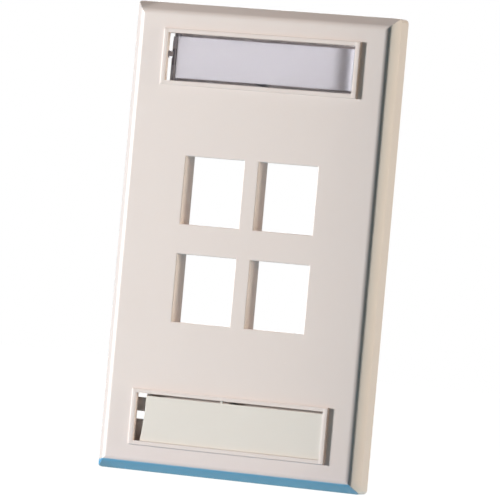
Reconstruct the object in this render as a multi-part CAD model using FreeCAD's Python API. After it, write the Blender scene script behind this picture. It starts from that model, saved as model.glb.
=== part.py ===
"""Single-gang keystone faceplate: four ports, a label window above and a blank cover below.

Millimetres. +X is right and +Z is up as seen from the front, and the front faces -Y. The wall lies
in the plane y = 0. The origin is the middle of the plate's back, half way between its two screws.
"""
import math
import os

import FreeCAD
import Part
from FreeCAD import Vector

# Plate
PLATE_WIDTH = 69.85
PLATE_HEIGHT = 114.3
PLATE_DEPTH = 6.67
FACE_WALL = 2.4
SIDE_WALL = 2.0
CORNER_RADIUS = 1.1
BEVEL_RUN = 2.31          # across the face
BEVEL_DEPTH = 2.6         # towards the wall
ARRIS_RADIUS = 1.85      # where the face meets the bevel
RIM_RADIUS = 0.5          # where the bevel meets the side
CAVITY_RADIUS = 1.5

# Keystone ports
PORT_WIDTH = 15.5
PORT_HEIGHT = 16.5
PORT_PITCH_X = 19.5
PORT_PITCH_Z = 23.8
PORT_EDGE_RADIUS = 0.3
PORT_LIP = 1.9            # thickness of the lip that a jack's hook and latch hold
PORT_FRAME_REACH = 5.6    # from the face to the back of a port's frame
PORT_FRAME_WALL = 1.5
PORT_SIDE_RELIEF = 0.2    # the frame stands back from the opening's sides
HOOK_ROOM = 1.6           # below the opening, for a jack's fixed hook
LATCH_ROOM = 1.9          # above the opening, for a jack's latch
LATCH_RAMP = 0.8

# Label frames, one above and one below the ports
FRAME_PAST_SCREW = 2.28   # from a screw's axis out to the middle of its frame
FRAME_OPENING_WIDTH = 49.5
FRAME_OPENING_HEIGHT = 11.65
FRAME_POST = 1.3          # width of the frame's ends
FRAME_RAIL = 1.0          # width of its top and bottom
FRAME_PROUD = 0.75
POST_CROWN = 0.06         # the posts' fronts are crowned and stand this much prouder than the rails
POST_OUTER_RADIUS = 0.25  # rounding of the posts' outer front edges
RAIL_RADIUS = 0.2
FLOOR_THICKNESS = 1.5
FLOOR_MARGIN = 2.5        # the floor is joined to the face wall this far round the opening
LIP_THICKNESS = 1.2       # the left post, where it hangs over the floor
LIP_OVERHANG = 1.2
SLOT_UNDERCUT = 1.75      # the floors' slots start this far outside the opening's left end
UPPER_SLOT_WIDTH = 1.7
UPPER_SLOT_STEP = 0.35    # it is this much wider at its top corner
UPPER_SLOT_STEP_HEIGHT = 1.9
LOWER_NOTCH_REACH = 3.15  # how far the lower floor's two notches run in
LOWER_CORNER_NOTCH = 1.1
LOWER_MIDDLE_NOTCH = 1.9
NOTCH_RISE = 0.4          # middle notch, above the middle of the frame

# Window and cover
INSERT_SETBACK = 0.55     # behind the front of the label frame
INSERT_THICKNESS = 0.75
INSERT_SIDE_GAP = 0.15
INSERT_FLOOR_GAP = 0.1
WINDOW_RAIL_GAP = 0.15    # above and below the window
COVER_UPPER_GAP = 0.55
COVER_LOWER_GAP = 0.03
COVER_EDGE_RADIUS = 0.1
LEFT_WALL = 0.95          # the walls behind an insert's two ends
RIGHT_WALL = 0.7
WINDOW_LEFT_GAP = 1.25    # prising gap at the window's left end
WINDOW_NOTCH_WIDTH = 0.5  # in its top left corner
WINDOW_NOTCH_HEIGHT = 0.75
COVER_LEFT_GAP_TOP = 2.4
COVER_LEFT_GAP_MIDDLE = 2.2
COVER_LEFT_GAP_BOTTOM = 1.65
COVER_WALL_INSET = 0.4    # its left end wall, in from the edge of the panel
PEG_WIDTH = 0.5
PEG_HEIGHT = 4.0
PEG_CLEARANCE = 0.1
PEG_DEPTH = 0.9           # how far a peg stands in its blind socket in the floor
TONGUE_HEIGHT = 1.7
TONGUE_RISE = 0.6
TONGUE_THICKNESS = 0.8
TONGUE_EDGE_RADIUS = 0.35
TONGUE_GAP = 0.1
NUB_WIDTH = 0.6
NUB_OFFSET = 2.3          # from the middle of the insert
NUB_GAP = 0.05
DIP_START = 6.1           # where the window's thumb dip starts, from the right end
DIP_TURN = 3.05           # where it is steepest
DIP_FALL = 28.0           # its slope there, in degrees
DIP_RISE = 16.0           # and its slope up to the right end
DIP_RADIUS = 2.8          # of the hollow between them

# Label
LABEL_THICKNESS = 0.2
LABEL_FRONT_GAP = 0.03    # between it and the back of the window
LABEL_END_GAP = 0.05
LABEL_MARGIN = 0.65

# Mounting screws, No. 6-32
SCREW_SPACING = 83.34
SCREW_MAJOR = 3.5
SCREW_NECK = 2.9          # plain neck between the head and the thread
SCREW_THREAD_START = 0.0  # the thread starts in the wall's plane
SCREW_HEAD = 6.6
SCREW_HEAD_ANGLE = 82.0
SCREW_LENGTH = 19.05
SCREW_CROWN = 0.6
SCREW_SLOT_WIDTH = 0.9
SCREW_SLOT_DEPTH = 0.9
SCREW_TIP_CHAMFER = 0.5
SCREW_HOLE_CLEARANCE = 0.25
SCREW_SEAT_GAP = 0.05
BOSS_WALL = 2.2
BOSS_SHY = 0.4            # the boss stops this far short of the wall

FACE_Y = -PLATE_DEPTH
WALL_BACK_Y = FACE_Y + FACE_WALL
FLOOR_BACK_Y = WALL_BACK_Y + FLOOR_THICKNESS
FRAME_Y = FACE_Y - FRAME_PROUD
RAIL_Y = FRAME_Y + POST_CROWN
INSERT_Y = FRAME_Y + INSERT_SETBACK
INSERT_BACK_Y = INSERT_Y + INSERT_THICKNESS
HALF_OPENING = FRAME_OPENING_WIDTH / 2
FRAME_OFFSET = SCREW_SPACING / 2 + FRAME_PAST_SCREW
INSERT_RIGHT = HALF_OPENING - INSERT_SIDE_GAP
PAST = 1.0                # how far a cutting tool runs past what it cuts


def block(x0, x1, y0, y1, z0, z1):
    """A box between two corners."""
    return Part.makeBox(x1 - x0, y1 - y0, z1 - z0, Vector(x0, y0, z0))


def edges_along(shape, direction, test):
    """The straight edges that run along a direction and whose middle passes the test."""
    found = []
    for edge in shape.Edges:
        if not isinstance(edge.Curve, Part.Line):
            continue
        way = edge.Vertexes[-1].Point - edge.Vertexes[0].Point
        if way.cross(direction).Length < 1e-6 * way.Length and test(edge.CenterOfMass):
            found.append(edge)
    return found


def rounded_block(x0, x1, y0, y1, z0, z1, radius):
    """A box whose four edges along Y are rounded."""
    solid = block(x0, x1, y0, y1, z0, z1)
    return solid.makeFillet(radius, edges_along(solid, Vector(0, 1, 0), lambda point: True))


def bevelled_bar(half_width, half_length):
    """The plate's section across one way, drawn out the other: flat face, bevels and sides."""
    side_y = FACE_Y + BEVEL_DEPTH
    outline = [
        Vector(-half_width, 0, 0),
        Vector(-half_width, side_y, 0),
        Vector(-half_width + BEVEL_RUN, FACE_Y, 0),
        Vector(half_width - BEVEL_RUN, FACE_Y, 0),
        Vector(half_width, side_y, 0),
        Vector(half_width, 0, 0),
    ]
    section = Part.Face(Part.makePolygon(outline + outline[:1]))
    section.translate(Vector(0, 0, -half_length))
    bar = section.extrude(Vector(0, 0, 2 * half_length))
    upright = Vector(0, 0, 1)
    bar = bar.makeFillet(ARRIS_RADIUS, edges_along(bar, upright, lambda p: abs(p.y - FACE_Y) < 1e-6))
    return bar.makeFillet(RIM_RADIUS, edges_along(bar, upright, lambda p: abs(p.y - side_y) < 1e-6))


def plate_blank():
    """The plate's outside: two bevelled bars crossed, so that their bevels meet in mitres."""
    half_x, half_z = PLATE_WIDTH / 2, PLATE_HEIGHT / 2
    upright = bevelled_bar(half_x, half_z)
    level = bevelled_bar(half_z, half_x)
    level.rotate(Vector(0, 0, 0), Vector(0, 1, 0), 90)
    outline = rounded_block(-half_x, half_x, FACE_Y - PAST, 0, -half_z, half_z, CORNER_RADIUS)
    return upright.common(level).common(outline)


def back_cavity():
    half_x = PLATE_WIDTH / 2 - SIDE_WALL
    half_z = PLATE_HEIGHT / 2 - SIDE_WALL
    return rounded_block(-half_x, half_x, WALL_BACK_Y, PAST, -half_z, half_z, CAVITY_RADIUS)


def port_centres():
    return [(side * PORT_PITCH_X / 2, level * PORT_PITCH_Z / 2) for level in (1, -1) for side in (-1, 1)]


def port_frame(x, z):
    """The walls round one port, behind the face."""
    half = PORT_WIDTH / 2 + PORT_SIDE_RELIEF + PORT_FRAME_WALL
    low = z - PORT_HEIGHT / 2 - HOOK_ROOM - PORT_FRAME_WALL
    high = z + PORT_HEIGHT / 2 + LATCH_ROOM + PORT_FRAME_WALL
    return block(x - half, x + half, WALL_BACK_Y, FACE_Y + PORT_FRAME_REACH, low, high)


def port_cut(x, z):
    """The opening of one port, the room behind its lips and the ramp that leads a latch in."""
    half_x, half_z = PORT_WIDTH / 2, PORT_HEIGHT / 2
    opening = block(x - half_x, x + half_x, FACE_Y - PAST, PAST, z - half_z, z + half_z)
    lip_y = FACE_Y + PORT_LIP
    room = block(x - half_x, x + half_x, lip_y, PAST, z - half_z - HOOK_ROOM, z + half_z + LATCH_ROOM)
    relief_x = half_x + PORT_SIDE_RELIEF
    relief = block(x - relief_x, x + relief_x, WALL_BACK_Y, PAST,
                   z - half_z - HOOK_ROOM, z + half_z + LATCH_ROOM)
    top = z + half_z
    ramp = Part.Face(Part.makePolygon([
        Vector(x - half_x, lip_y - LATCH_RAMP, top),
        Vector(x - half_x, lip_y, top + LATCH_RAMP),
        Vector(x - half_x, lip_y, top),
        Vector(x - half_x, lip_y - LATCH_RAMP, top),
    ])).extrude(Vector(PORT_WIDTH, 0, 0))
    return opening.fuse([room, relief, ramp])


def frame_levels():
    """Height of the middle of the upper and of the lower label frame."""
    return FRAME_OFFSET, -FRAME_OFFSET


def post_front(inner, outer):
    """The crowned front of a post, seen from above."""
    crown = Vector((inner + outer) / 2, FRAME_Y, 0)
    return Part.Arc(Vector(inner, RAIL_Y, 0), crown, Vector(outer, RAIL_Y, 0)).toShape()


def label_frame(z):
    """The raised frame round one label opening: crowned posts, and rails with eased edges."""
    half_x = HALF_OPENING + FRAME_POST
    half_z = FRAME_OPENING_HEIGHT / 2 + FRAME_RAIL
    section = Part.Face(Part.Wire([
        post_front(-half_x, -HALF_OPENING),
        Part.makeLine(Vector(-HALF_OPENING, RAIL_Y, 0), Vector(HALF_OPENING, RAIL_Y, 0)),
        post_front(HALF_OPENING, half_x),
        Part.makeLine(Vector(half_x, RAIL_Y, 0), Vector(half_x, WALL_BACK_Y, 0)),
        Part.makeLine(Vector(half_x, WALL_BACK_Y, 0), Vector(-half_x, WALL_BACK_Y, 0)),
        Part.makeLine(Vector(-half_x, WALL_BACK_Y, 0), Vector(-half_x, RAIL_Y, 0)),
    ]))
    section.translate(Vector(0, 0, z - half_z))
    posts = section.extrude(Vector(0, 0, 2 * half_z))
    outer = edges_along(posts, Vector(0, 0, 1),
                        lambda p: abs(p.y - RAIL_Y) < 1e-6 and abs(abs(p.x) - half_x) < 1e-6)
    posts = posts.makeFillet(POST_OUTER_RADIUS, outer)
    rails = block(-half_x, half_x, FRAME_Y, WALL_BACK_Y, z - half_z, z + half_z)
    long_edges = edges_along(rails, Vector(1, 0, 0), lambda p: abs(p.y - FRAME_Y) < 1e-6)
    rails = rails.makeFillet(RAIL_RADIUS, long_edges)
    return posts.common(rails)


def frame_floor(z):
    """The floor behind one label opening, joined to the back of the face wall."""
    half_x = HALF_OPENING + FLOOR_MARGIN
    half_z = FRAME_OPENING_HEIGHT / 2 + FLOOR_MARGIN
    return block(-half_x, half_x, WALL_BACK_Y, FLOOR_BACK_Y, z - half_z, z + half_z)


def frame_opening(z):
    """The label opening through the face wall, undercut behind its left post."""
    half_z = FRAME_OPENING_HEIGHT / 2
    opening = block(-HALF_OPENING, HALF_OPENING, FRAME_Y - PAST, WALL_BACK_Y, z - half_z, z + half_z)
    undercut = block(-HALF_OPENING - LIP_OVERHANG, -HALF_OPENING + PAST,
                     FRAME_Y + LIP_THICKNESS, WALL_BACK_Y, z - half_z, z + half_z)
    return opening.fuse(undercut)


def floor_hole(x0, x1, z0, z1):
    return block(x0, x1, WALL_BACK_Y - PAST / 2, FLOOR_BACK_Y + PAST, z0, z1)


def upper_floor_slots():
    """The slots at the left end of the upper floor, with a bridge between them under the tongue."""
    low, high = FRAME_OFFSET - FRAME_OPENING_HEIGHT / 2, FRAME_OFFSET + FRAME_OPENING_HEIGHT / 2
    bridge = FRAME_OFFSET + TONGUE_RISE
    left = -HALF_OPENING - SLOT_UNDERCUT
    right = left + UPPER_SLOT_WIDTH
    slot_below = floor_hole(left, right, low, bridge - TONGUE_HEIGHT / 2)
    slot_above = floor_hole(left, right, bridge + TONGUE_HEIGHT / 2, high)
    step = floor_hole(left, right + UPPER_SLOT_STEP, high - UPPER_SLOT_STEP_HEIGHT, high)
    return slot_below.fuse([slot_above, step])


def lower_floor_notches():
    """The two see-through notches at the left end of the lower floor."""
    left = -HALF_OPENING - SLOT_UNDERCUT
    right = left + LOWER_NOTCH_REACH
    top = -FRAME_OFFSET + FRAME_OPENING_HEIGHT / 2
    middle = -FRAME_OFFSET + NOTCH_RISE
    corner = floor_hole(left, right, top - LOWER_CORNER_NOTCH, top)
    centre = floor_hole(left, right, middle - LOWER_MIDDLE_NOTCH / 2, middle + LOWER_MIDDLE_NOTCH / 2)
    return corner.fuse(centre)


def peg_places(left_wall):
    """Where an insert's two pegs start along X: under the middle of its left and right end walls."""
    return left_wall + (LEFT_WALL - PEG_WIDTH) / 2, INSERT_RIGHT - (RIGHT_WALL + PEG_WIDTH) / 2


def window_left():
    return -HALF_OPENING + WINDOW_LEFT_GAP


def cover_wall_left():
    return -HALF_OPENING + COVER_LEFT_GAP_TOP + COVER_WALL_INSET


def insert_pegs(left_wall, z, clearance):
    """Two pegs that stand in the floor, or with a clearance, their blind sockets."""
    pegs = []
    for x in peg_places(left_wall):
        pegs.append(block(x - clearance, x + PEG_WIDTH + clearance,
                          INSERT_BACK_Y, WALL_BACK_Y + PEG_DEPTH + clearance,
                          z - PEG_HEIGHT / 2 - clearance, z + PEG_HEIGHT / 2 + clearance))
    return pegs


def head_depth():
    """Depth of the countersunk head, from its widest circle down to the neck."""
    return (SCREW_HEAD - SCREW_NECK) / 2 / math.tan(math.radians(SCREW_HEAD_ANGLE / 2))


def screw_levels():
    return SCREW_SPACING / 2, -SCREW_SPACING / 2


def along_wall(shape, z):
    """Lay a shape made about +Z along +Y, and lift it to a height."""
    shape.rotate(Vector(0, 0, 0), Vector(1, 0, 0), -90)
    shape.translate(Vector(0, 0, z))
    return shape


def screw_boss(z):
    radius = SCREW_MAJOR / 2 + SCREW_HOLE_CLEARANCE + BOSS_WALL
    boss = Part.makeCylinder(radius, -BOSS_SHY - FLOOR_BACK_Y, Vector(0, 0, FLOOR_BACK_Y))
    return along_wall(boss, z)


def screw_hole(z):
    """A clearance hole with its countersink, opening at the front of the floor."""
    radius = SCREW_MAJOR / 2 + SCREW_HOLE_CLEARANCE
    mouth = SCREW_HEAD / 2 + SCREW_SEAT_GAP
    depth = (mouth - radius) / math.tan(math.radians(SCREW_HEAD_ANGLE / 2))
    hole = Part.makeCylinder(radius, PAST - WALL_BACK_Y, Vector(0, 0, WALL_BACK_Y))
    sink = Part.makeCone(mouth, radius, depth, Vector(0, 0, WALL_BACK_Y))
    return along_wall(hole.fuse(sink), z)


def make_faceplate():
    plate = plate_blank().cut(back_cavity())
    additions = [port_frame(x, z) for x, z in port_centres()]
    additions += [label_frame(z) for z in frame_levels()]
    additions += [frame_floor(z) for z in frame_levels()]
    additions += [screw_boss(z) for z in screw_levels()]
    plate = plate.fuse(additions).removeSplitter()
    cuts = [port_cut(x, z) for x, z in port_centres()]
    cuts += [frame_opening(z) for z in frame_levels()]
    cuts += [screw_hole(z) for z in screw_levels()]
    cuts += [upper_floor_slots(), lower_floor_notches()]
    cuts += insert_pegs(window_left(), FRAME_OFFSET, PEG_CLEARANCE)
    cuts += insert_pegs(cover_wall_left(), -FRAME_OFFSET, PEG_CLEARANCE)
    plate = plate.cut(cuts).removeSplitter()
    port_x = PORT_PITCH_X / 2 + PORT_WIDTH / 2 + PAST
    port_z = PORT_PITCH_Z / 2 + PORT_HEIGHT / 2 + PAST
    mouths = [edge for edge in plate.Edges
              if abs(edge.CenterOfMass.y - FACE_Y) < 1e-6
              and abs(edge.CenterOfMass.x) < port_x and abs(edge.CenterOfMass.z) < port_z]
    return plate.makeFillet(PORT_EDGE_RADIUS, mouths)


def on_bend(centre, radius, slope):
    """The place where a bend about a centre has a slope. A hollow's radius is below zero."""
    return Vector(centre.x + radius * math.sin(slope), centre.y - radius * math.cos(slope), 0)


def dip_line(front, right):
    """The window's thumb dip, seen from above: the roll-off, the hollow and the rise to the right.

    front moves all three towards the wall, for the back of the window and for the label.
    """
    fall, climb = math.radians(DIP_FALL), math.radians(DIP_RISE)
    start, turn = INSERT_RIGHT - DIP_START, INSERT_RIGHT - DIP_TURN
    roll_radius = (turn - start) / math.sin(fall)
    roll = Vector(start, front + roll_radius, 0)
    meeting = on_bend(roll, roll_radius, fall)
    hollow = on_bend(meeting, DIP_RADIUS, fall)
    hollow_end = on_bend(hollow, -DIP_RADIUS, -climb)
    rise = (right - hollow_end.x) * math.tan(climb)
    return [
        Part.Arc(on_bend(roll, roll_radius, 0), on_bend(roll, roll_radius, fall / 2), meeting).toShape(),
        Part.Arc(meeting, on_bend(hollow, -DIP_RADIUS, 0), hollow_end).toShape(),
        Part.makeLine(hollow_end, Vector(right, hollow_end.y - rise, 0)),
    ]


def dipped_strip(left, right, front, back, low, high):
    """A strip that is flat from its left end to the dip and then follows it, front and back."""
    front_dip, back_dip = dip_line(front, right), dip_line(back, right)
    front_left, back_left = Vector(left, front, 0), Vector(left, back, 0)
    joins = [
        Part.makeLine(front_left, front_dip[0].Vertexes[0].Point),
        Part.makeLine(front_dip[-1].Vertexes[1].Point, back_dip[-1].Vertexes[1].Point),
        Part.makeLine(back_dip[0].Vertexes[0].Point, back_left),
        Part.makeLine(back_left, front_left),
    ]
    outline = Part.Wire(Part.sortEdges(joins + front_dip + back_dip)[0])
    strip = Part.Face(outline).extrude(Vector(0, 0, high - low))
    strip.translate(Vector(0, 0, low))
    return strip


def end_walls(left_wall, low, high):
    """The two walls on which an insert stands over the floor."""
    back = WALL_BACK_Y - INSERT_FLOOR_GAP
    return [block(left_wall, left_wall + LEFT_WALL, INSERT_BACK_Y, back, low, high),
            block(INSERT_RIGHT - RIGHT_WALL, INSERT_RIGHT, INSERT_BACK_Y, back, low, high)]


def window_span():
    """Lowest and highest Z of the window, with a like gap to each rail."""
    half = FRAME_OPENING_HEIGHT / 2 - WINDOW_RAIL_GAP
    return FRAME_OFFSET - half, FRAME_OFFSET + half


def window_tongue():
    """The round-edged tongue that reaches from the window over to the left post."""
    middle = FRAME_OFFSET + TONGUE_RISE
    tongue = block(-HALF_OPENING + TONGUE_GAP, window_left() + PAST, INSERT_Y, INSERT_Y + TONGUE_THICKNESS,
                   middle - TONGUE_HEIGHT / 2, middle + TONGUE_HEIGHT / 2)
    return tongue.makeFillet(TONGUE_EDGE_RADIUS, edges_along(tongue, Vector(1, 0, 0), lambda point: True))


def make_upper_window():
    low, high = window_span()
    left = window_left()
    panel = dipped_strip(left, INSERT_RIGHT, INSERT_Y, INSERT_BACK_Y, low, high)
    rail_below = FRAME_OFFSET - FRAME_OPENING_HEIGHT / 2
    nub = block(NUB_OFFSET - NUB_WIDTH / 2, NUB_OFFSET + NUB_WIDTH / 2, INSERT_Y, INSERT_BACK_Y,
                rail_below + NUB_GAP, low + PAST)
    parts = end_walls(left, low, high) + insert_pegs(left, FRAME_OFFSET, 0)
    notch = block(left - PAST, left + WINDOW_NOTCH_WIDTH, INSERT_Y - PAST, WALL_BACK_Y,
                  high - WINDOW_NOTCH_HEIGHT, high + PAST)
    return panel.fuse(parts + [window_tongue(), nub]).cut(notch).removeSplitter()


def make_upper_label():
    """The paper strip: it lies on the back of the window and follows it between the end walls."""
    low, high = window_span()
    left = window_left() + LEFT_WALL + LABEL_END_GAP
    right = INSERT_RIGHT - RIGHT_WALL - LABEL_END_GAP
    front = INSERT_BACK_Y + LABEL_FRONT_GAP
    return dipped_strip(left, right, front, front + LABEL_THICKNESS,
                        low + LABEL_MARGIN, high - LABEL_MARGIN)


def make_lower_cover():
    """The blank cover: a flat panel with a curved left edge, on two end walls with pegs."""
    low = -FRAME_OFFSET - FRAME_OPENING_HEIGHT / 2 + COVER_LOWER_GAP
    high = -FRAME_OFFSET + FRAME_OPENING_HEIGHT / 2 - COVER_UPPER_GAP
    left = -HALF_OPENING
    edge_top = Vector(left + COVER_LEFT_GAP_TOP, INSERT_Y, high)
    edge_middle = Vector(left + COVER_LEFT_GAP_MIDDLE, INSERT_Y, (low + high) / 2)
    edge_bottom = Vector(left + COVER_LEFT_GAP_BOTTOM, INSERT_Y, low)
    corner_low = Vector(INSERT_RIGHT, INSERT_Y, low)
    corner_high = Vector(INSERT_RIGHT, INSERT_Y, high)
    outline = Part.Wire([
        Part.Arc(edge_top, edge_middle, edge_bottom).toShape(),
        Part.makeLine(edge_bottom, corner_low),
        Part.makeLine(corner_low, corner_high),
        Part.makeLine(corner_high, edge_top),
    ])
    panel = Part.Face(outline).extrude(Vector(0, INSERT_THICKNESS, 0))
    front = [edge for edge in panel.Edges if abs(edge.CenterOfMass.y - INSERT_Y) < 1e-6]
    panel = panel.makeFillet(COVER_EDGE_RADIUS, front)
    rail_above = -FRAME_OFFSET + FRAME_OPENING_HEIGHT / 2
    nub = block(-NUB_OFFSET - NUB_WIDTH / 2, -NUB_OFFSET + NUB_WIDTH / 2,
                INSERT_Y + COVER_EDGE_RADIUS, INSERT_BACK_Y, high - PAST, rail_above - NUB_GAP)
    parts = end_walls(cover_wall_left(), low, high) + insert_pegs(cover_wall_left(), -FRAME_OFFSET, 0)
    return panel.fuse(parts + [nub]).removeSplitter()


def make_screw(z):
    """A slotted oval-head countersunk screw, seated in the floor. Its thread is drawn elsewhere."""
    head_r, neck_r, thread_r = SCREW_HEAD / 2, SCREW_NECK / 2, SCREW_MAJOR / 2
    front, under = WALL_BACK_Y, WALL_BACK_Y + head_depth()
    tip = front + SCREW_LENGTH
    crown_radius = (head_r ** 2 + SCREW_CROWN ** 2) / (2 * SCREW_CROWN)
    half_way = math.asin(head_r / crown_radius) / 2
    shoulder = Vector(crown_radius * math.sin(half_way), 0,
                      front - SCREW_CROWN + crown_radius * (1 - math.cos(half_way)))
    crown = Part.Arc(Vector(head_r, 0, front), shoulder, Vector(0, 0, front - SCREW_CROWN)).toShape()
    corners = [
        Vector(0, 0, front - SCREW_CROWN),
        Vector(0, 0, tip),
        Vector(thread_r - SCREW_TIP_CHAMFER, 0, tip),
        Vector(thread_r, 0, tip - SCREW_TIP_CHAMFER),
        Vector(thread_r, 0, SCREW_THREAD_START),
        Vector(neck_r, 0, SCREW_THREAD_START),
        Vector(neck_r, 0, under),
        Vector(head_r, 0, front),
    ]
    outline = [crown] + [Part.makeLine(a, b) for a, b in zip(corners, corners[1:])]
    screw = Part.Face(Part.Wire(outline)).revolve(Vector(0, 0, 0), Vector(0, 0, 1), 360)
    slot = Part.makeBox(2 * SCREW_HEAD, SCREW_SLOT_WIDTH, SCREW_SLOT_DEPTH + PAST,
                        Vector(-SCREW_HEAD, -SCREW_SLOT_WIDTH / 2, front - SCREW_CROWN - PAST))
    return along_wall(screw.cut(slot), z)


def make_parts():
    upper, lower = screw_levels()
    return {
        "faceplate": make_faceplate(),
        "upper_window": make_upper_window(),
        "upper_label": make_upper_label(),
        "lower_cover": make_lower_cover(),
        "upper_screw": make_screw(upper),
        "lower_screw": make_screw(lower),
    }


os.makedirs("parts", exist_ok=True)
for name, shape in make_parts().items():
    shape.exportStep("parts/" + name + ".step")
    size = shape.BoundBox
    print(f"{name:14s} solids {len(shape.Solids)} valid {shape.isValid()} volume {shape.Volume:9.2f} "
          f"x {size.XMin:7.2f} {size.XMax:7.2f} y {size.YMin:6.2f} {size.YMax:6.2f} "
          f"z {size.ZMin:7.2f} {size.ZMax:7.2f}")
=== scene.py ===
"""The looks of a single-gang keystone faceplate: moulded ivory plate, clear label window, blank cover."""

import math

import bmesh
import bpy
from mathutils import Matrix, Vector


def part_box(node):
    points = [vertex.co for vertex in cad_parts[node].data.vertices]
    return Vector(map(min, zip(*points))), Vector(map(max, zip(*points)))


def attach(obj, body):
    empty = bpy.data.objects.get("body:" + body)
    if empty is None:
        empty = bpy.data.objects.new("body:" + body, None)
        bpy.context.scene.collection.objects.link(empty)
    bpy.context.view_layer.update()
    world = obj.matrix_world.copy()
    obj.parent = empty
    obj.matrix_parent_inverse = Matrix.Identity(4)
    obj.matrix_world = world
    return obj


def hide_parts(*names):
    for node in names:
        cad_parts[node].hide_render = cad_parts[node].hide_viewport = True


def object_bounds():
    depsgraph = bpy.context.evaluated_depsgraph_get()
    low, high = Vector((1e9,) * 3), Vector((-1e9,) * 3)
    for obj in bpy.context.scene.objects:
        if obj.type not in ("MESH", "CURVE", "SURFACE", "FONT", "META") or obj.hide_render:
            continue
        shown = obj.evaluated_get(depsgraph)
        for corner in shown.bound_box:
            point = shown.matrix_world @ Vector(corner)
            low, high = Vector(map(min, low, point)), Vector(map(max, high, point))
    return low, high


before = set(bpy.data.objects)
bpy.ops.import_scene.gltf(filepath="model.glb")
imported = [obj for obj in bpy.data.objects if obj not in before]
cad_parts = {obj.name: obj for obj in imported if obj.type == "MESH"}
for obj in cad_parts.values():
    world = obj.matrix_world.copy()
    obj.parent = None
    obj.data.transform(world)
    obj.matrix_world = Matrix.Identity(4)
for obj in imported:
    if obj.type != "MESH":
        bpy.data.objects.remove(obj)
cad_low, cad_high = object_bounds()

MM = 0.001
BEVEL_RUN = 2.31 * MM         # height of the lower bevel, seen from straight in front
FRAME_STEP = 0.20 * MM        # the window and the cover stand this far in front of the plate's face

# Camera: where it stands round the plate in degrees, its turn about its own line of sight, and its lens
CAMERA_PLACE = (24.146, 0.214)
CAMERA_ROLL = math.radians(5.085)
CAMERA_DISTANCE = 1293.5 * MM
CAMERA_LENS = 384.22
CAMERA_SENSOR = 36.0
CAMERA_SHIFT = (-0.0111, -0.0089)

# Surface patterns: how far across their features are, and how deep where they stand out
CLOUD_SIZE = 14 * MM          # the faint clouding of moulded plastic
GRAIN_SIZE = 0.5 * MM         # the mould's grain, drawn coarser than its real 0.1 mm or so, to show
GRAIN_DEPTH = 0.012 * MM
FLOW_SIZE = 9 * MM            # the waves that flowing plastic leaves in the clear window
FLOW_DEPTH = 0.02 * MM
FIBRE_SIZE = 0.9 * MM         # paper fibres, drawn coarser than they are, to show
FIBRE_DEPTH = 0.01 * MM
FIBRE_STRETCH = (1.0, 1.0, 3.0)
MARK_SIZE = 0.4 * MM          # turning marks on the screws

# Screws, No. 6-32
THREAD_START = 0.0            # in the wall's plane, where the screw's plain neck ends
THREAD_PITCH = 0.794 * MM
THREAD_TIP = 0.7 * MM         # the thread ends this far short of the tip
NECK_RADIUS = 1.45 * MM
THREAD_STEPS = 32             # in one turn
MERGE_GAP = 0.001 * MM        # corners of the CAD screw nearer than this are one
NECK_SLACK = 0.05 * MM        # the shank's corners lie farther than this outside the neck
PLANE_SLACK = 0.01 * MM       # and no farther than this in front of the wall's plane

# Stage
FLOOR_DROP = 62 * MM          # below the plate's lower edge, which stands free as it does on a wall
FLOOR_SIZE = 6.0
FLOOR_COLOUR = "#F4F4F2"
WORLD_COLOUR = "#FFF6EC"
WORLD_LIGHT = 0.02            # strength of the world's light, on every surface
BACKDROP_WHOLE = 30           # degrees from straight behind the plate to where the white backdrop fades
BACKDROP_END = 50             # and to where it ends, as mirrors and glass show it
ROOM_COLOUR = "#7C7F86"       # what they show of the room beyond it
FLOOR_GLOW_NEAR, FLOOR_GLOW_FAR = 0.6, 1.0
FLOOR_GLOW_FROM, FLOOR_GLOW_TO = 0.35, 0.95   # metres from the middle of the floor

# Lamps: azimuth and elevation as seen from the plate's front, distance, size, power, colour
LAMPS = {
    "key lamp": (-63, 2.5, 1.00, 0.135, 15.6, "#FFFFFF"),
    "fill lamp": (84, 6, 0.80, 0.14, 3.6, "#FFFBEC"),
    "wide side lamp": (62, 0, 1.50, 1.00, 6.6, "#FFD0A4"),
    "back lamp": (-150, 28, 0.80, 0.40, 5.0, "#FAFDFF"),
}
TABLE_COLOUR = "#619CB3"      # what the floor throws back at the plate, as a blue table top does
GEL_LENGTH = 6.0 * MM         # a blue gel stands between the lamps and the lower bevel
GEL_SLOPE = math.radians(28)
GEL_WIDTH = 90 * MM
GEL_COLOUR = (0.0, 0.44, 0.95, 1.0)   # share of red, green and blue that it passes
FLAG_GAP = 1 * MM             # a flag keeps the fill lamp off the frames and the face
FLAG_BACK, FLAG_FRONT = -0.3 * MM, 2.2 * MM   # from the face to its two edges
RIM_LIGHT = 0.2               # share of the lamplight that comes through the window's rim
NET_GAP = 4 * MM              # a net tones down the key lamp on the plate's left edge
NET_DEPTH = 30 * MM
NET_FRONT = 2.6 * MM          # its front edge, in front of the face
NET_SHADE = 0.66              # share of the light that it passes


def linear(colour):
    """An sRGB hex colour as linear red, green, blue and alpha."""
    parts = [int(colour[i:i + 2], 16) / 255 for i in (1, 3, 5)]
    return [p / 12.92 if p <= 0.04045 else ((p + 0.055) / 1.055) ** 2.4 for p in parts] + [1.0]


def add(tree, kind, inputs=None, **settings):
    """Add a node, set its settings, and give its inputs values or links."""
    node = tree.nodes.new(kind)
    for name, value in settings.items():
        setattr(node, name, value)
    for key, value in (inputs or {}).items():
        if isinstance(value, bpy.types.NodeSocket):
            tree.links.new(value, node.inputs[key])
        else:
            node.inputs[key].default_value = value
    return node


def new_material(name):
    material = bpy.data.materials.new(name)
    material.use_nodes = True
    material.node_tree.nodes.clear()
    return material, material.node_tree


def noise(tree, place, size, detail=2.0):
    """Noise whose features are about this many metres across."""
    return add(tree, "ShaderNodeTexNoise", {
        "Vector": place, "Scale": 1 / size, "Detail": detail}).outputs["Fac"]


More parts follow.
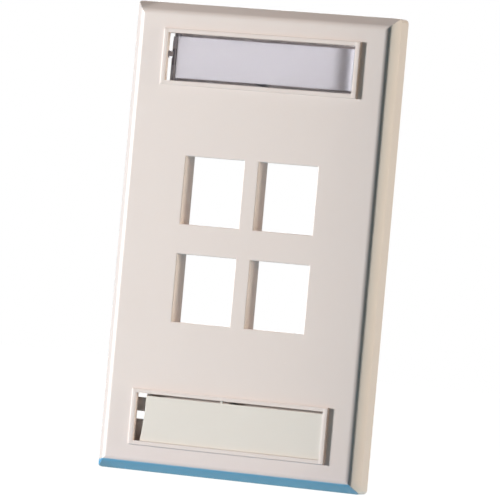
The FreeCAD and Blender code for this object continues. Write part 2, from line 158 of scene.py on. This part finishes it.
def between(tree, factor, low, high):
    """A factor of 0 to 1 drawn out to the span from low to high."""
    return add(tree, "ShaderNodeMapRange", {
        "Value": factor, "To Min": low, "To Max": high}).outputs["Result"]


def mix_tones(tree, factor, tone, other):
    """A colour between two sRGB hex tones."""
    return add(tree, "ShaderNodeMix", {
        "Factor": factor, "A": linear(tone), "B": linear(other)}, data_type="RGBA").outputs["Result"]


def moulded_abs(name, tone, deep_tone):
    """Injection-moulded ABS: opaque, a satin grain from a spark-eroded tool, faint clouding of its colour."""
    material, tree = new_material(name)
    place = add(tree, "ShaderNodeTexCoord").outputs["Object"]
    clouds = noise(tree, place, CLOUD_SIZE, 3.0)
    grain = noise(tree, place, GRAIN_SIZE)
    colour = mix_tones(tree, between(tree, clouds, 0.1, 0.9), tone, deep_tone)
    bump = add(tree, "ShaderNodeBump", {"Height": grain, "Distance": GRAIN_DEPTH, "Strength": 0.5})
    surface = add(tree, "ShaderNodeBsdfPrincipled", {
        "Base Color": colour, "Roughness": between(tree, grain, 0.42, 0.56),
        "IOR": 1.53, "Normal": bump.outputs["Normal"]})
    add(tree, "ShaderNodeOutputMaterial", {"Surface": surface.outputs["BSDF"]})
    return material


def inside(tree, part, low, high):
    """1 where a coordinate lies between two values, else 0."""
    above = add(tree, "ShaderNodeMath", {0: part, 1: low}, operation="GREATER_THAN")
    below = add(tree, "ShaderNodeMath", {0: part, 1: high}, operation="LESS_THAN")
    return add(tree, "ShaderNodeMath", {0: above.outputs["Value"], 1: below.outputs["Value"]},
               operation="MULTIPLY").outputs["Value"]


def clear_polycarbonate():
    """Moulded polycarbonate: clear with a faint blue cast, and glossy.

    Its flat panel lets lamplight through to the label. Its moulded rim bends most of the light
    away, so the floor behind the rim stays dim and shows as a dark line round the label.
    """
    material, tree = new_material("clear moulded polycarbonate")
    place = add(tree, "ShaderNodeTexCoord").outputs["Object"]
    flow = noise(tree, place, FLOW_SIZE, 1.0)
    bump = add(tree, "ShaderNodeBump", {"Height": flow, "Distance": FLOW_DEPTH, "Strength": 0.4})
    glass = add(tree, "ShaderNodeBsdfPrincipled", {
        "Base Color": linear("#EAECF2"), "Roughness": 0.04, "IOR": 1.585,
        "Transmission Weight": 1.0, "Normal": bump.outputs["Normal"]})
    shade = add(tree, "ShaderNodeBsdfTransparent", {"Color": linear("#E9EAEE")})
    where = add(tree, "ShaderNodeSeparateXYZ", {"Vector": place})
    label_low, label_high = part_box("upper_label")
    panel = between(tree, inside(tree, where.outputs["Z"], label_low.z, label_high.z), RIM_LIGHT, 1.0)
    lit = add(tree, "ShaderNodeMath", {
        0: add(tree, "ShaderNodeLightPath").outputs["Is Shadow Ray"], 1: panel}, operation="MULTIPLY")
    mixed = add(tree, "ShaderNodeMixShader", {
        "Fac": lit.outputs["Value"], 1: glass.outputs["BSDF"], 2: shade.outputs["BSDF"]})
    add(tree, "ShaderNodeOutputMaterial", {"Surface": mixed.outputs["Shader"]})
    return material


def label_paper():
    """Smooth white label stock with a cool cast: matt, with short fibres just showing."""
    material, tree = new_material("label paper")
    place = add(tree, "ShaderNodeTexCoord").outputs["Object"]
    drawn = add(tree, "ShaderNodeMapping", {"Vector": place, "Scale": FIBRE_STRETCH}).outputs["Vector"]
    fibres = noise(tree, drawn, FIBRE_SIZE, 3.0)
    bump = add(tree, "ShaderNodeBump", {"Height": fibres, "Distance": FIBRE_DEPTH, "Strength": 0.4})
    surface = add(tree, "ShaderNodeBsdfPrincipled", {
        "Base Color": mix_tones(tree, fibres, "#C6C0BD", "#BFB9B6"), "Roughness": 0.8,
        "Normal": bump.outputs["Normal"]})
    add(tree, "ShaderNodeOutputMaterial", {"Surface": surface.outputs["BSDF"]})
    return material


def zinc_plated_steel():
    """Bright zinc on rolled and headed steel: grey metal, fine turning marks, uneven gloss."""
    material, tree = new_material("zinc-plated steel")
    place = add(tree, "ShaderNodeTexCoord").outputs["Object"]
    marks = noise(tree, place, MARK_SIZE)
    surface = add(tree, "ShaderNodeBsdfPrincipled", {
        "Base Color": mix_tones(tree, marks, "#C9CACB", "#A9ABAE"), "Metallic": 1.0,
        "Roughness": between(tree, marks, 0.22, 0.42)})
    add(tree, "ShaderNodeOutputMaterial", {"Surface": surface.outputs["BSDF"]})
    return material


def dress(node, material):
    """Give a CAD node its finish, on the object, and let flat faces shade flat beside rounded edges."""
    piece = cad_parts[node]
    even = piece.modifiers.new("even shading", "WEIGHTED_NORMAL")
    even.weight = 100
    even.keep_sharp = True
    for slot in piece.material_slots:
        slot.link = "OBJECT"
        slot.material = material


def thread_tree(material):
    """Geometry Nodes that wind a V-shaped thread round a screw's core and join it on.

    The spiral winds to the left, while a real No. 6-32 thread winds to the right.
    """
    tree = bpy.data.node_groups.new("screw thread", "GeometryNodeTree")
    for name, kind in (("Geometry", "NodeSocketGeometry"), ("Pitch", "NodeSocketFloat"),
                       ("Turns", "NodeSocketFloat"), ("Core Radius", "NodeSocketFloat"),
                       ("Start", "NodeSocketVector")):
        tree.interface.new_socket(name, in_out="INPUT", socket_type=kind)
    tree.interface.new_socket("Geometry", in_out="OUTPUT", socket_type="NodeSocketGeometry")
    given = add(tree, "NodeGroupInput").outputs
    height = add(tree, "ShaderNodeMath", {0: given["Pitch"], 1: given["Turns"]}, operation="MULTIPLY")
    spiral = add(tree, "GeometryNodeCurveSpiral", {
        "Resolution": THREAD_STEPS, "Rotations": given["Turns"], "Start Radius": given["Core Radius"],
        "End Radius": given["Core Radius"], "Height": height.outputs["Value"]})
    level = add(tree, "GeometryNodeSetCurveNormal", {"Curve": spiral.outputs["Curve"]}, mode="Z_UP")
    half_pitch = add(tree, "ShaderNodeMath", {0: given["Pitch"], 1: 0.5}, operation="MULTIPLY")
    ridge = add(tree, "GeometryNodeCurvePrimitiveCircle", {
        "Resolution": 4, "Radius": half_pitch.outputs["Value"]})
    wound = add(tree, "GeometryNodeCurveToMesh", {
        "Curve": level.outputs["Curve"], "Profile Curve": ridge.outputs["Curve"], "Fill Caps": True})
    laid = add(tree, "GeometryNodeTransform", {
        "Geometry": wound.outputs["Mesh"], "Translation": given["Start"],
        "Rotation": (-math.pi / 2, 0.0, 0.0)})
    joined = add(tree, "GeometryNodeJoinGeometry")
    tree.links.new(laid.outputs["Geometry"], joined.inputs["Geometry"])
    tree.links.new(given["Geometry"], joined.inputs["Geometry"])
    real = add(tree, "GeometryNodeRealizeInstances", {"Geometry": joined.outputs["Geometry"]})
    dressed = add(tree, "GeometryNodeSetMaterial", {
        "Geometry": real.outputs["Geometry"], "Material": material})
    add(tree, "NodeGroupOutput", {"Geometry": dressed.outputs["Geometry"]})
    return tree


def add_threaded_screw(node, tree):
    """Stand a threaded screw in a CAD screw's place: its shank turned down, then wound."""
    low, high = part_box(node)
    axis_x, axis_z, major = (low.x + high.x) / 2, (low.z + high.z) / 2, 0.0
    core = bmesh.new()
    core.from_mesh(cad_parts[node].data)
    bmesh.ops.remove_doubles(core, verts=core.verts, dist=MERGE_GAP)
    shank = []
    for vertex in core.verts:
        out = Vector((vertex.co.x - axis_x, vertex.co.z - axis_z))
        if vertex.co.y > THREAD_START - PLANE_SLACK and out.length > NECK_RADIUS + NECK_SLACK:
            shank.append(vertex)
            major = max(major, out.length)
    core_radius = major - THREAD_PITCH / 2
    share = core_radius / major
    for vertex in shank:
        vertex.co.x = axis_x + (vertex.co.x - axis_x) * share
        vertex.co.z = axis_z + (vertex.co.z - axis_z) * share
    mesh = bpy.data.meshes.new(node + "_threaded")
    core.to_mesh(mesh)
    core.free()
    screw = bpy.data.objects.new(node + "_threaded", mesh)
    bpy.context.scene.collection.objects.link(screw)
    wind = screw.modifiers.new("thread", "NODES")
    wind.node_group = tree
    start = THREAD_START + THREAD_PITCH / 2
    sizes = {"Pitch": THREAD_PITCH, "Turns": (high.y - THREAD_TIP - start) / THREAD_PITCH,
             "Core Radius": core_radius, "Start": (axis_x, start, axis_z)}
    for item in tree.interface.items_tree:
        if item.in_out == "INPUT" and item.name in sizes:
            wind[item.identifier] = sizes[item.name]
    evaluated = screw.evaluated_get(bpy.context.evaluated_depsgraph_get())
    finished = bpy.data.meshes.new_from_object(evaluated)
    screw.modifiers.clear()
    screw.data = finished
    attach(screw, "plate")
    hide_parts(node)


def toward(azimuth, elevation):
    """Unit vector from the plate towards a viewer or lamp. Azimuth 0 is straight in front."""
    a, e = math.radians(azimuth), math.radians(elevation)
    return Vector((math.sin(a) * math.cos(e), -math.cos(a) * math.cos(e), math.sin(e)))


def add_lamp(name, azimuth, elevation, distance, size, power, colour):
    """A round lamp that faces the plate."""
    lamp = bpy.data.lights.new(name, "AREA")
    lamp.shape = "DISK"
    lamp.size = size
    lamp.energy = power
    lamp.color = linear(colour)[:3]
    holder = bpy.data.objects.new(name, lamp)
    holder.location = toward(azimuth, elevation) * distance
    holder.visible_glossy = size < 1      # the widest one is too far and dim to show in the gloss
    holder.rotation_euler = toward(azimuth, elevation).to_track_quat("Z", "Y").to_euler()
    bpy.context.scene.collection.objects.link(holder)


def add_card(name, corners, surface):
    """A flat card that only shades: no view, mirror or glass shows it."""
    material, tree = new_material(name)
    shader = add(tree, *surface)
    add(tree, "ShaderNodeOutputMaterial", {"Surface": shader.outputs["BSDF"]})
    mesh = bpy.data.meshes.new(name)
    mesh.from_pydata(corners, [], [(0, 1, 2, 3)])
    mesh.materials.append(material)
    card = bpy.data.objects.new(name, mesh)
    card.visible_camera = card.visible_glossy = card.visible_transmission = False
    bpy.context.scene.collection.objects.link(card)


def add_cards():
    """The gel below the plate, the flag at its right and the net at its left."""
    plate_low, plate_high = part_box("faceplate")
    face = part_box("upper_window")[0].y + FRAME_STEP
    level, half = plate_low.z + BEVEL_RUN, GEL_WIDTH / 2
    far = face - GEL_LENGTH * math.cos(GEL_SLOPE)
    fall = level - GEL_LENGTH * math.sin(GEL_SLOPE)
    add_card("blue gel", [(-half, far, fall), (half, far, fall), (half, face, level), (-half, face, level)],
             ("ShaderNodeBsdfTransparent", {"Color": GEL_COLOUR}))
    side, flag_front, flag_back = plate_high.x + FLAG_GAP, face - FLAG_FRONT, face - FLAG_BACK
    low, high = plate_low.z - NET_DEPTH, plate_high.z + NET_DEPTH
    add_card("flag", [(side, flag_front, low), (side, flag_front, high), (side, flag_back, high),
                      (side, flag_back, low)], ("ShaderNodeBsdfDiffuse", {"Color": (0.0, 0.0, 0.0, 1.0)}))
    left, front, back = plate_low.x - NET_GAP, face - NET_FRONT, face - NET_FRONT + NET_DEPTH
    add_card("net", [(left, front, low), (left, front, high), (left, back, high), (left, back, low)],
             ("ShaderNodeBsdfTransparent", {"Color": [NET_SHADE] * 3 + [1.0]}))


def add_camera():
    back = toward(*CAMERA_PLACE)
    level = (-back).cross(Vector((0, 0, 1))).normalized()
    upright = level.cross(-back)
    across = level * math.cos(CAMERA_ROLL) + upright * math.sin(CAMERA_ROLL)
    up = upright * math.cos(CAMERA_ROLL) - level * math.sin(CAMERA_ROLL)
    camera = bpy.data.cameras.new("camera")
    camera.lens = CAMERA_LENS
    camera.sensor_width = CAMERA_SENSOR
    camera.shift_x, camera.shift_y = CAMERA_SHIFT
    holder = bpy.data.objects.new("camera", camera)
    turn = Matrix((across, up, back)).transposed()
    holder.matrix_world = Matrix.Translation(back * CAMERA_DISTANCE) @ turn.to_4x4()
    bpy.context.scene.collection.objects.link(holder)
    bpy.context.scene.camera = holder


def seen(tree):
    """1 for a ray that shows a surface directly, in a mirror or through glass, else 0."""
    path = add(tree, "ShaderNodeLightPath")
    direct = add(tree, "ShaderNodeMath", {
        0: path.outputs["Is Camera Ray"], 1: path.outputs["Is Glossy Ray"]}, operation="MAXIMUM")
    return add(tree, "ShaderNodeMath", {
        0: direct.outputs["Value"], 1: path.outputs["Is Transmission Ray"]},
        operation="MAXIMUM").outputs["Value"]


def add_world():
    """A faint even light, and a white backdrop behind the plate that mirrors and glass show too."""
    world = bpy.data.worlds.new("studio")
    world.use_nodes = True
    tree = world.node_tree
    tree.nodes.clear()
    light = add(tree, "ShaderNodeBackground", {
        "Color": linear(WORLD_COLOUR), "Strength": WORLD_LIGHT})
    way = add(tree, "ShaderNodeTexCoord").outputs["Generated"]
    behind = -toward(*CAMERA_PLACE)
    ahead = add(tree, "ShaderNodeVectorMath", {0: way, 1: behind}, operation="DOT_PRODUCT").outputs["Value"]
    backdrop = add(tree, "ShaderNodeMapRange", {
        "Value": ahead, "From Min": math.cos(math.radians(BACKDROP_END)),
        "From Max": math.cos(math.radians(BACKDROP_WHOLE))}, interpolation_type="SMOOTHSTEP")
    direct = add(tree, "ShaderNodeLightPath").outputs["Is Camera Ray"]
    white = add(tree, "ShaderNodeMath", {0: backdrop.outputs["Result"], 1: direct}, operation="MAXIMUM")
    colour = mix_tones(tree, white.outputs["Value"], ROOM_COLOUR, "#FFFFFF")
    view = add(tree, "ShaderNodeBackground", {"Color": colour, "Strength": 1.0})
    mixed = add(tree, "ShaderNodeMixShader", {
        "Fac": seen(tree), 1: light.outputs["Background"], 2: view.outputs["Background"]})
    add(tree, "ShaderNodeOutputWorld", {"Surface": mixed.outputs["Shader"]})
    bpy.context.scene.world = world


def add_floor():
    """A pale matt floor. It glows for rays that only show it, so that it joins the white behind it."""
    material, tree = new_material("pale studio floor")
    matt = add(tree, "ShaderNodeBsdfDiffuse", {"Color": linear(FLOOR_COLOUR)})
    table = add(tree, "ShaderNodeBsdfDiffuse", {"Color": linear(TABLE_COLOUR)})
    place = add(tree, "ShaderNodeTexCoord").outputs["Object"]
    out = add(tree, "ShaderNodeVectorMath", {0: place}, operation="LENGTH").outputs["Value"]
    strength = add(tree, "ShaderNodeMapRange", {
        "Value": out, "From Min": FLOOR_GLOW_FROM, "From Max": FLOOR_GLOW_TO,
        "To Min": FLOOR_GLOW_NEAR, "To Max": FLOOR_GLOW_FAR}, interpolation_type="SMOOTHSTEP")
    glow = add(tree, "ShaderNodeEmission", {
        "Color": linear("#FFFFFF"), "Strength": strength.outputs["Result"]})
    shown = add(tree, "ShaderNodeAddShader", {0: matt.outputs["BSDF"], 1: glow.outputs["Emission"]})
    floor_surface = add(tree, "ShaderNodeMixShader", {
        "Fac": seen(tree), 1: table.outputs["BSDF"], 2: shown.outputs["Shader"]})
    add(tree, "ShaderNodeOutputMaterial", {"Surface": floor_surface.outputs["Shader"]})
    half, level = FLOOR_SIZE / 2, cad_low.z - FLOOR_DROP
    mesh = bpy.data.meshes.new("floor")
    mesh.from_pydata([(-half, -half, level), (half, -half, level), (half, half, level), (-half, half, level)],
                     [], [(0, 1, 2, 3)])
    mesh.materials.append(material)
    floor = bpy.data.objects.new("floor", mesh)
    bpy.context.scene.collection.objects.link(floor)


plate_plastic = moulded_abs("ivory moulded ABS", "#E6D8D1", "#E2D4CD")
cover_plastic = moulded_abs("greyer ivory moulded ABS", "#E5DCD2", "#E1D8CE")
dress("faceplate", plate_plastic)
dress("lower_cover", cover_plastic)
dress("upper_window", clear_polycarbonate())
dress("upper_label", label_paper())
thread = thread_tree(zinc_plated_steel())
add_threaded_screw("upper_screw", thread)
add_threaded_screw("lower_screw", thread)

add_floor()
add_world()
for lamp_name, lamp_values in LAMPS.items():
    add_lamp(lamp_name, *lamp_values)
add_cards()
add_camera()
bpy.context.scene.view_settings.view_transform = "Standard"
